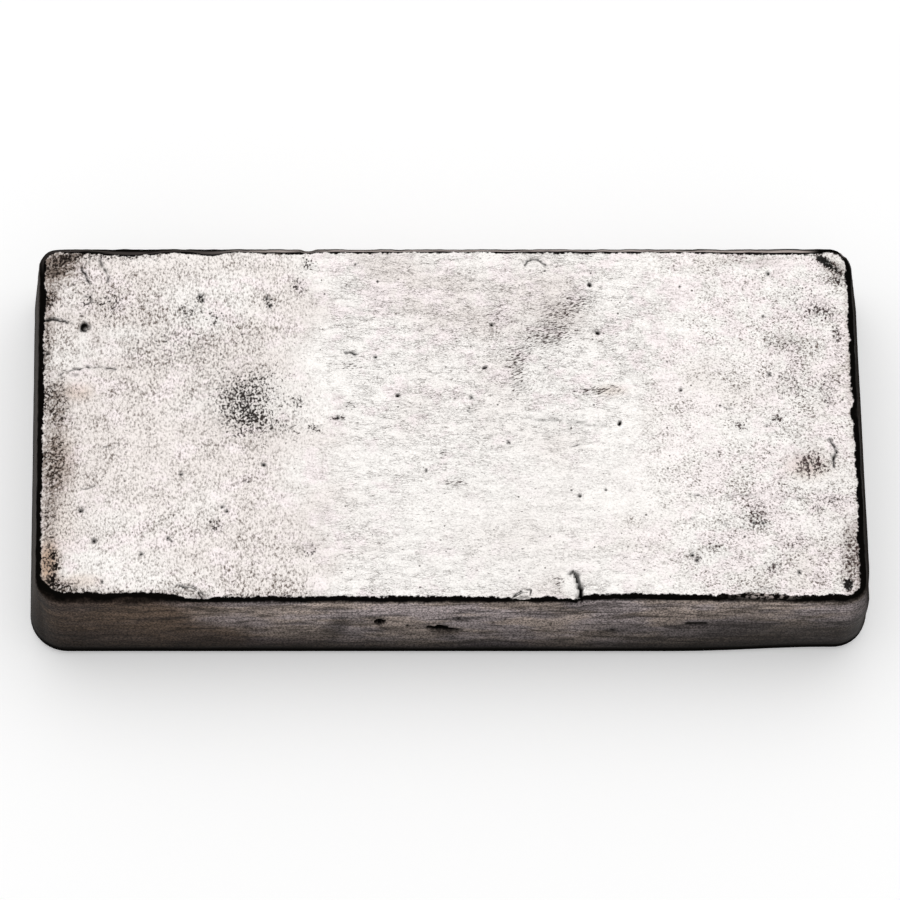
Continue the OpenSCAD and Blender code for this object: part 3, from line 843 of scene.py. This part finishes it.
def build_skin(form):
    """The bar's skin as a mesh in metres, with the masks that its material reads."""
    surface, tree = packed_marks(form)
    pins, cracks = skin_pins(form), skin_cracks(form)
    mesh = refined_shell(form, tree, pins + cracks)
    points, normals = read_points(mesh)
    x, y, z = points.T
    drop = form.height - z
    edge = form.edge_way(points)
    upper = smooth(-edge, -1.5, 0.5)
    on_side = 1 - upper

    # The imported bar's marks, the cast relief and the pits, with their black, which is painted shade that
    # deepens with the mark
    wander = np.stack([noise_field(points, (1.7, 1.7, 1.7), seed) for seed in (151.0, 163.0, 179.0)], 1)
    marks = follow_marks(points, normals, surface, tree, wander)
    off_rim = 1 - smooth(edge, -0.3, 0.2) * (1 - smooth(edge, 1.8, 2.4))
    dark = smooth(-marks, 0.16 - 0.12 * on_side, 0.45 - 0.30 * on_side) * off_rim
    rise = cast_relief(form, points, edge) + marks
    for width, depth, darkness, place in pins:
        hole = faded(line_distance(points, place), width, PIN_FADE)
        rise -= depth * hole
        dark = np.maximum(dark, darkness * hole)
    dark = np.maximum(dark, front_mouths(x, drop) * (y < 0) * on_side)
    dark *= 1 - PIT_GLINT[5] * soft_patch(x, y, PIT_GLINT)

    # Cracks are more ragged on the upper face than on the sides
    crack = np.zeros(len(points))
    ragged = (0.12 + 0.33 * upper)[:, None] * wander
    for width, depth, darkness, line in cracks:
        groove = faded(line_distance(points + ragged, line), width, CRACK_FADE)
        rise -= depth * groove
        crack = np.maximum(crack, darkness * groove)

    moved = points + normals * rise[:, None] + short_corner(form, points) + stepped_rim(points)
    moved[:, 2] = np.maximum(moved[:, 2], 0)
    moved[:, 0] += math.tan(form.out_of_square) * moved[:, 1]
    mesh.vertices.foreach_set("co", (moved * MM).ravel())

    masks = {name: upper * painted(x, y, patches) for name, patches in TOP_PATCHES.items()}
    masks["edge_way"] = edge + upper * painted(x, y, RIM_SPREADS)
    front = (y < 0) * (np.abs(y) > form.half_width - FRONT_DEPTH) * on_side
    masks["front_dark"] = painted(x, drop, FRONT_DARK_PATCHES) * front
    # The pit and crack masks carry the painted shade of pits, cracks and mouths
    masks.update(pit=dark, crack=crack, flow=flow_share(points))
    for name, values in masks.items():
        paint(mesh, name, values)
    mesh.shade_smooth()
    mesh.update()
    return mesh


# Materials

class Nodes:
    """Short ways to lay shader nodes: each call returns an output socket."""

    def __init__(self, tree):
        self.tree = tree
        tree.nodes.clear()

    def node(self, kind, **settings):
        node = self.tree.nodes.new(kind)
        for key, value in settings.items():
            setattr(node, key, value)
        return node

    def plug(self, socket, value):
        """Links an output to a socket, or sets the socket to a value. A colour needs no alpha."""
        if isinstance(value, bpy.types.NodeSocket):
            self.tree.links.new(value, socket)
        elif socket.type == "RGBA" and len(value) == 3:
            socket.default_value = (*value, 1.0)
        else:
            socket.default_value = value

    def math(self, operation, a, b=0.0, clamp=False):
        node = self.node("ShaderNodeMath", operation=operation, use_clamp=clamp)
        self.plug(node.inputs[0], a)
        self.plug(node.inputs[1], b)
        return node.outputs[0]

    def chain(self, operation, terms):
        total = terms[0]
        for term in terms[1:]:
            total = self.math(operation, total, term)
        return total

    def add(self, *terms):
        return self.chain("ADD", terms)

    def mul(self, *terms):
        return self.chain("MULTIPLY", terms)

    def most(self, *terms):
        return self.chain("MAXIMUM", terms)

    def rest(self, share):
        """What a share leaves of 1."""
        return self.math("SUBTRACT", 1.0, share)

    def step(self, value, low, high, to_low=0.0, to_high=1.0):
        """Soft step of a value between low and high."""
        node = self.node("ShaderNodeMapRange", interpolation_type="SMOOTHSTEP")
        for socket, number in zip(node.inputs, (value, low, high, to_low, to_high)):
            self.plug(socket, number)
        return node.outputs[0]

    def mix(self, share, a, b, blend="MIX"):
        node = self.node("ShaderNodeMix", data_type="RGBA", blend_type=blend)
        self.plug(node.inputs[0], share)
        self.plug(node.inputs[6], a)
        self.plug(node.inputs[7], b)
        return node.outputs[2]

    def blend(self, share, a, b):
        node = self.node("ShaderNodeMix", data_type="FLOAT")
        self.plug(node.inputs[0], share)
        self.plug(node.inputs[2], a)
        self.plug(node.inputs[3], b)
        return node.outputs[0]

    def mask(self, name):
        return self.node("ShaderNodeAttribute", attribute_name=name).outputs["Fac"]

    def place(self):
        """Place on the bar in millimetres."""
        place = self.node("ShaderNodeTexCoord").outputs["Object"]
        scale = self.node("ShaderNodeVectorMath", operation="SCALE")
        self.plug(scale.inputs[0], place)
        scale.inputs["Scale"].default_value = 1 / MM
        return scale.outputs[0]

    def stretch(self, place, size, turn=0.0):
        """Place measured in features of this size, turned in plan."""
        node = self.node("ShaderNodeMapping", vector_type="TEXTURE")
        self.plug(node.inputs["Vector"], place)
        node.inputs["Rotation"].default_value = (0, 0, math.radians(turn))
        node.inputs["Scale"].default_value = size
        return node.outputs[0]

    def noise(self, place, detail=2.0, roughness=0.55, distortion=0.0):
        node = self.node("ShaderNodeTexNoise")
        self.plug(node.inputs["Vector"], place)
        node.inputs["Scale"].default_value = 1.0
        node.inputs["Detail"].default_value = detail
        node.inputs["Roughness"].default_value = roughness
        node.inputs["Distortion"].default_value = distortion
        return node.outputs["Fac"]


def upper_face(n, skin, place, x):
    """Colour, height, dirt and black crust of the grainy upper face."""
    flow, stain, smoke, grit = n.mask("flow"), n.mask("stain"), n.mask("smoke"), n.mask("grit")
    bright, orange = n.mask("bright"), n.mask("orange")
    patchy = n.noise(n.stretch(place, (5.0, 4.0, 5.0)), 3.0, 0.6)
    broad = n.noise(n.stretch(place, (26, 20, 26)), 2.0, 0.5)

    # Grain: stippled where the metal lay still, dashed where it ran, specked at the right
    stipple = n.noise(n.stretch(place, (0.40, 0.62, 0.6)), 2.0, 0.6)
    dashed = n.noise(n.stretch(place, (0.44, 0.30, 0.6), -2), 2.0, 0.6)
    specked = n.noise(n.stretch(place, (0.44, 0.36, 0.6), -8), 2.0, 0.6)
    right = n.step(n.add(x, n.mul(broad, 40.0)), 42.0, 76.0)
    grain = n.blend(flow, stipple, n.blend(right, dashed, specked))

    # Thin films tint the clean metal
    warm = n.step(n.add(broad, n.mul(flow, -0.16)), 0.28, 0.56)
    metal = n.mix(warm, skin.silver_cool, skin.silver_warm)
    pink_film = n.noise(n.stretch(place, (5.5, 4.5, 5.0)), 3.0, 0.6)
    pink = n.step(n.add(pink_film, n.mul(right, 0.07)), 0.50, 0.66, 0.0, 0.9)
    metal = n.mix(pink, metal, skin.silver_pink)
    # Rubbed patches, and painted highlights on swellings and the lap's tongue, take the clean silver
    metal = n.mix(n.math("MINIMUM", bright, 0.85), metal, skin.silver_cool)
    metal = n.mix(n.mul(orange, 0.8), metal, skin.rust)

    # Hollows of the grain are grey, partly tarnish and partly painted shade of the relief, with thin wavy
    # threads of painted shade where the metal ran
    uneven = n.add(patchy, -0.5)
    gain = n.add(0.70, n.mul(grit, 0.38), n.mul(bright, -0.20), n.mul(flow, -0.36), n.mul(right, 0.66))
    gain = n.add(gain, n.mul(uneven, n.step(right, 0.0, 1.0, 1.1, 2.8)), n.mul(n.add(broad, -0.5), 0.7))
    depth = n.mul(n.add(grain, n.mul(uneven, 0.15), -0.5), 2.8)
    depth = n.math("ADD", depth, n.add(n.mul(flow, -0.08), n.step(right, 0.0, 1.0, 0.5, 0.41)), True)
    hollow_tarnish_and_shade = n.mul(depth, depth, n.most(gain, 0.3))
    piece_of_line = n.step(n.noise(n.stretch(place, (4.0, 1.6, 2.0)), 2.0, 0.5), 0.38, 0.54)
    threads = 0.0
    for size, width, strength in (((2.6, 0.80, 0.8), 0.018, 0.56), ((1.5, 0.46, 0.6), 0.020, 0.48)):
        wave = n.noise(n.stretch(place, size, -4), 2.0, 0.5, 0.3)
        threads = n.add(n.step(n.math("ABSOLUTE", n.add(wave, -0.5)), 0.0, width, strength, 0.0), threads)
    fainter = n.mul(n.step(bright, 0.0, 0.8, 1.0, 0.5), n.step(right, 0.0, 1.0, 1.0, 0.45))
    threads = n.mul(threads, flow, piece_of_line, fainter)
    shade = n.math("ADD", hollow_tarnish_and_shade, threads, True)
    colour = n.mix(shade, metal, n.mix(0.5, skin.tarnish, skin.film))

    # Films and black specks of tarnish, drawn out to strokes in the smear
    dots = n.noise(n.stretch(place, (0.48, 0.58, 0.6)), 2.0, 0.6)
    dashes = n.noise(n.stretch(place, (0.90, 0.27, 0.6), 13), 1.5, 0.55)
    smeared = n.mul(n.step(flow, 0.2, 1.0), n.step(x, 40.0, 60.0, 0.9, 0.0))
    specks = n.blend(smeared, dots, dashes)
    strokes = n.noise(n.stretch(place, (1.9, 0.45, 0.6), 28), 2.0, 0.6)
    film_share = n.math("MULTIPLY", smoke, n.step(n.blend(0.5, dots, strokes), 0.40, 0.60, 0.35, 1.3), True)
    colour = n.mix(film_share, colour, skin.film)
    dirt = n.math("MINIMUM", n.add(stain, n.mul(smoke, 0.3), n.mul(grit, 0.08)), 2.0)
    crust = n.step(n.add(specks, n.mul(dirt, 0.23)), 0.63, 0.80)
    crust_colour = n.mix(n.mul(flow, 0.7), skin.tarnish, skin.tarnish_red)
    crust_colour = n.mix(n.step(dirt, 0.8, 1.4), crust_colour, skin.black_tarnish_and_shade)
    colour = n.mix(n.mul(crust, 0.97), colour, crust_colour)

    # Scattered pricks where the metal ran
    pricks = n.node("ShaderNodeTexVoronoi", voronoi_dimensions="2D")
    n.plug(pricks.inputs["Vector"], n.stretch(place, (5.2, 5.2, 1.0)))
    pricks.inputs["Scale"].default_value = 1.0
    chosen = n.node("ShaderNodeSeparateColor")
    n.plug(chosen.inputs[0], pricks.outputs["Color"])
    prick_size = n.add(0.022, n.mul(chosen.outputs[1], 0.03))
    prick = n.step(n.math("DIVIDE", pricks.outputs["Distance"], prick_size), 0.7, 1.2, 1.0, 0.0)
    prick = n.mul(prick, n.step(chosen.outputs[0], 0.80, 0.82), n.step(flow, 0.2, 0.6))
    colour = n.mix(n.mul(prick, 0.8), colour, skin.tarnish)
    height = n.add(n.mul(grain, -1.0), n.mul(specks, -0.4), n.mul(threads, -0.3))
    return colour, height, dirt, crust


def side_patina_and_shade(n, skin, place, x, y, z):
    """Colour, height, streaks and dark ends of the sides: brown to the left, with painted shade towards the
    base and on the ends.
    """
    streak = n.noise(n.stretch(place, (12, 12, 1.8)), 4.0, 0.62, 0.8)
    thin_streak = n.noise(n.stretch(place, (6, 6, 0.7)), 3.0, 0.6)
    mottle = n.noise(n.stretch(place, (0.42, 0.42, 0.46)), 3.0, 0.65)
    cloud = n.noise(n.stretch(place, (24, 24, 9)), 3.0, 0.55)
    # Patina colours, dark partly as painted dark reflection
    brown = n.step(n.add(x, n.mul(cloud, 46.0), n.mul(n.add(z, -12.0), 1.5)), -32.0, 4.0, 1.0, 0.0)
    colour = n.mix(brown, skin.side_grey, skin.side_brown)
    purple = n.mul(n.step(cloud, 0.50, 0.62), n.step(z, 4.0, 9.0, 0.8, 0.0))
    colour = n.mix(purple, colour, skin.side_purple)
    tint = n.step(n.noise(n.stretch(place, (16, 16, 4.5)), 2.0, 0.6), 0.40, 0.60)
    colour = n.mix(1.0, colour, n.mix(tint, (1.05, 1.0, 0.93, 1.0), (0.97, 0.965, 1.02, 1.0)), "MULTIPLY")
    # Painted shade towards the base, darkening to the right and at the left end, then the patina's dark streaks
    # and the front's darker patches
    shades = [
        n.step(z, 7.0, 20.0, 0.52, 0.0),
        n.step(z, 2.0, 9.0, 0.95, 0.0),
        n.mul(n.step(x, 24.0, 60.0), n.step(z, 8.0, 19.0, 0.74, 0.18)),
        n.step(x, -86.0, -60.0, 0.45, 0.0),
        n.step(streak, 0.44, 0.66, 0.0, 0.68),
        n.most(n.mask("front_dark"), 0.0),
    ]
    for shade in shades:
        colour = n.mix(shade, colour, skin.side_dark_streaks_and_shade)
    # Painted shade makes the right end nearly black, apart from its front corner, and darkens the left end too
    right_end_shade = n.mul(n.step(x, -1.0, 1.0), n.step(y, -42.0, -37.0, -0.36, 0.30))
    end = n.mul(n.step(n.math("ABSOLUTE", x), 82.5, 85.0), n.add(0.66, right_end_shade))
    colour = n.mix(end, colour, skin.side_dark_streaks_and_shade)
    colour = n.mix(1.0, colour, n.step(mottle, 0.36, 0.64, 0.45, 1.60), "MULTIPLY")
    colour = n.mix(1.0, colour, n.step(thin_streak, 0.36, 0.64, 0.82, 1.17), "MULTIPLY")
    return colour, n.add(n.mul(streak, 0.8), n.mul(mottle, 0.5)), streak, end


def tarnished_silver(skin):
    """Cast silver: bright grainy face with painted highlights, tarnish and painted shade in its hollows, a rim
    painted black as a dark reflection, and brown-grey sides darkened with painted shade.
    """
    material = bpy.data.materials.new("tarnished_silver")
    material.use_nodes = True
    n = Nodes(material.node_tree)
    place = n.place()
    axis = n.node("ShaderNodeSeparateXYZ")
    n.plug(axis.inputs[0], place)
    x, y, z = axis.outputs
    edge = n.mask("edge_way")
    upper, upper_height, dirt, crust = upper_face(n, skin, place, x)
    side, side_height, streak, end = side_patina_and_shade(n, skin, place, x, y, z)

    # Rim painted black as a dark reflection, with a ragged inner edge, fading into the side
    teeth = n.add(n.noise(n.stretch(place, (2.2, 2.2, 9)), 4.0, 0.6), -0.5)
    crumbs = n.add(n.noise(n.stretch(place, (0.7, 0.7, 2.0)), 2.0, 0.6), -0.5)
    rim_in = n.step(n.add(edge, n.mul(teeth, 1.9), n.mul(crumbs, 0.8)), -0.26, -0.04)
    rim_out = n.step(n.add(edge, n.mul(n.add(streak, -0.5), 1.2), n.mul(teeth, 0.9)), 0.8, 1.7)
    # At the back the black is broken by pale strips along the rim
    strip = n.node("ShaderNodeCombineXYZ")
    n.plug(strip.inputs[0], n.mul(x, 0.09))
    n.plug(strip.inputs[1], n.mul(edge, 2.2))
    pale = n.mul(
        n.step(n.noise(strip.outputs[0], 3.0, 0.6), 0.34, 0.52), n.step(y, 34.0, 39.0),
        n.step(x, -56.0, -30.0, 0.15, 1.0), n.step(x, 75.0, 79.0, 1.0, 0.0),
        n.step(edge, 0.13, 0.26), n.step(edge, 0.58, 0.78, 1.0, 0.0))
    lumps = n.step(n.noise(n.stretch(place, (1.1, 0.8, 0.8)), 2.0, 0.6), 0.48, 0.60)
    pale = n.most(pale, n.mul(lumps, n.mask("crumbs")))
    rim = n.mix(pale, skin.black_tarnish_and_shade, n.mix(0.85, skin.film, skin.side_grey))
    finish = n.mix(rim_in, upper, rim)
    finish = n.mix(rim_out, finish, side)
    # Painted shade: the base edge is black, low by the floor
    painted_base_shade = n.step(z, 2.4, 4.2, 0.98, 0.0)
    finish = n.mix(painted_base_shade, finish, skin.black_tarnish_and_shade)
    # Pits and cracks are painted black as the shade in them; fine cracks are broken by gaps
    gaps = n.step(n.noise(n.stretch(place, (1.6, 1.6, 1.6)), 2.0, 0.5), 0.28, 0.50)
    crack = n.mask("crack")
    broken = n.mul(crack, n.most(gaps, rim_out, n.step(crack, 0.75, 0.95)))
    sunk = n.most(n.mask("pit"), broken)
    finish = n.mix(sunk, finish, skin.black_tarnish_and_shade)

    # Tarnish is dull: the metal shows through the patina of the sides by half, and not through the black of
    # tarnish, of the painted rim and of painted shade
    shader = n.node("ShaderNodeBsdfPrincipled")
    n.plug(shader.inputs["Base Color"], finish)
    band = n.mul(rim_in, n.rest(rim_out), n.rest(pale))
    black_crust = n.mul(crust, n.step(dirt, 0.8, 1.4, 0.7, 1.0))
    dull_side = n.mul(rim_out, n.most(end, 0.5))
    dull = n.most(band, painted_base_shade, sunk, black_crust, dull_side)
    n.plug(shader.inputs["Metallic"], n.rest(n.mul(dull, 0.98)))
    shader.inputs["Specular IOR Level"].default_value = 0.0
    n.plug(shader.inputs["Roughness"], n.add(0.36, n.mul(dirt, 0.12), n.mul(rim_out, 0.12)))
    bump = n.node("ShaderNodeBump")
    bump.inputs["Strength"].default_value = 1.0
    bump.inputs["Distance"].default_value = GRAIN_DEPTH * MM
    n.plug(bump.inputs["Height"], n.blend(rim_in, upper_height, side_height))
    n.plug(shader.inputs["Normal"], bump.outputs[0])
    out = n.node("ShaderNodeOutputMaterial")
    n.plug(out.inputs["Surface"], shader.outputs[0])
    return material


def shown_light(n):
    """1 for rays that show the ground to the camera, in metal or through glass."""
    path = n.node("ShaderNodeLightPath")
    return n.most(*(path.outputs[f"Is {kind} Ray"] for kind in ("Camera", "Glossy", "Transmission")))


def pale_floor(stage):
    """Plain matt floor that keeps the bar's shadow and is white in the picture."""
    material = bpy.data.materials.new("pale_floor")
    material.use_nodes = True
    n = Nodes(material.node_tree)
    shader = n.node("ShaderNodeBsdfPrincipled")
    n.plug(shader.inputs["Base Color"], stage.floor_colour)
    shader.inputs["Roughness"].default_value = 0.9
    shader.inputs["Specular IOR Level"].default_value = 0.0
    n.plug(shader.inputs["Emission Color"], stage.floor_colour)
    n.plug(shader.inputs["Emission Strength"], n.mul(shown_light(n), stage.floor_fill))
    out = n.node("ShaderNodeOutputMaterial")
    n.plug(out.inputs["Surface"], shader.outputs[0])
    return material


def light_room(stage):
    """A soft room, brighter behind and above the bar than in front, and white where the camera sees it."""
    world = bpy.data.worlds.new("studio")
    world.use_nodes = True
    n = Nodes(world.node_tree)
    axis = n.node("ShaderNodeSeparateXYZ")
    n.plug(axis.inputs[0], n.node("ShaderNodeTexCoord").outputs["Generated"])
    level = n.step(axis.outputs[1], -0.7, 0.5, stage.world_front, stage.world_back)
    camera = n.node("ShaderNodeLightPath").outputs["Is Camera Ray"]
    background = n.node("ShaderNodeBackground")
    n.plug(background.inputs["Strength"], n.blend(camera, level, 1.0))
    out = n.node("ShaderNodeOutputWorld")
    n.plug(out.inputs["Surface"], background.outputs[0])
    bpy.context.scene.world = world


# Operators

class OBJECT_OT_silver_bar(bpy.types.Operator):
    """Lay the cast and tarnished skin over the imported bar"""

    bl_idname = "object.silver_bar"
    bl_label = "Silver Bar"
    bl_options = {"REGISTER", "UNDO"}

    def execute(self, context):
        skin = context.scene.silver_bar_skin
        form = BarForm(skin)
        piece = bpy.data.objects.new("silver_bar_skin", build_skin(form))
        context.scene.collection.objects.link(piece)
        piece.data.materials.append(tarnished_silver(skin))
        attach(piece, "root")
        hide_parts(NODE)
        return {"FINISHED"}


class SCENE_OT_bar_stage(bpy.types.Operator):
    """Set the pale floor, the soft light and the camera"""

    bl_idname = "scene.bar_stage"
    bl_label = "Stage"
    bl_options = {"REGISTER", "UNDO"}

    def execute(self, context):
        scene, stage = context.scene, context.scene.silver_bar_stage
        bm = bmesh.new()
        bmesh.ops.create_circle(bm, cap_ends=True, radius=FLOOR_RADIUS, segments=FLOOR_SIDES)
        mesh = bpy.data.meshes.new("floor")
        bm.to_mesh(mesh)
        bm.free()
        floor = bpy.data.objects.new("floor", mesh)
        scene.collection.objects.link(floor)
        mesh.materials.append(pale_floor(stage))
        light_room(stage)

        lamp = bpy.data.lights.new("softbox", "AREA")
        lamp.shape = "RECTANGLE"
        lamp.size, lamp.size_y = SOFTBOX_SIZE
        lamp.energy = stage.softbox_power
        softbox = bpy.data.objects.new("softbox", lamp)
        scene.collection.objects.link(softbox)
        self.aim(softbox, Vector(SOFTBOX_PLACE), Vector((0, 0, 0)))

        lens = bpy.data.cameras.new("camera")
        lens.sensor_width = SENSOR_WIDTH
        lens.lens = stage.lens
        camera = bpy.data.objects.new("camera", lens)
        scene.collection.objects.link(camera)
        aim = Vector(stage.aim)
        back = Vector((0, -math.cos(stage.elevation), math.sin(stage.elevation)))
        self.aim(camera, aim + back * stage.distance, aim)
        scene.camera = camera
        scene.view_settings.view_transform = "Standard"
        return {"FINISHED"}

    @staticmethod
    def aim(thing, place, target):
        """Puts a lamp or camera at a place, facing a target."""
        turn = (target - place).to_track_quat("-Z", "Y").to_matrix().to_4x4()
        thing.matrix_world = Matrix.Translation(place) @ turn


class VIEW3D_PT_silver_bar(bpy.types.Panel):
    """Lists the steps that dress the bar and set its stage"""

    bl_label = "Silver Bar"
    bl_space_type = "VIEW_3D"
    bl_region_type = "UI"
    bl_category = "Silver Bar"

    def draw(self, context):
        for step in (OBJECT_OT_silver_bar, SCENE_OT_bar_stage):
            self.layout.operator(step.bl_idname)
        for group in (context.scene.silver_bar_skin, context.scene.silver_bar_stage):
            for name in group.__annotations__:
                self.layout.prop(group, name)


CLASSES = (BarSkin, BarStage, OBJECT_OT_silver_bar, SCENE_OT_bar_stage, VIEW3D_PT_silver_bar)


def register():
    for cls in CLASSES:
        bpy.utils.register_class(cls)
    bpy.types.Scene.silver_bar_skin = PointerProperty(type=BarSkin)
    bpy.types.Scene.silver_bar_stage = PointerProperty(type=BarStage)


def unregister():
    del bpy.types.Scene.silver_bar_stage
    del bpy.types.Scene.silver_bar_skin
    for cls in reversed(CLASSES):
        bpy.utils.unregister_class(cls)


def main():
    register()
    bpy.ops.object.silver_bar()
    bpy.ops.scene.bar_stage()


if __name__ == "__main__":
    main()
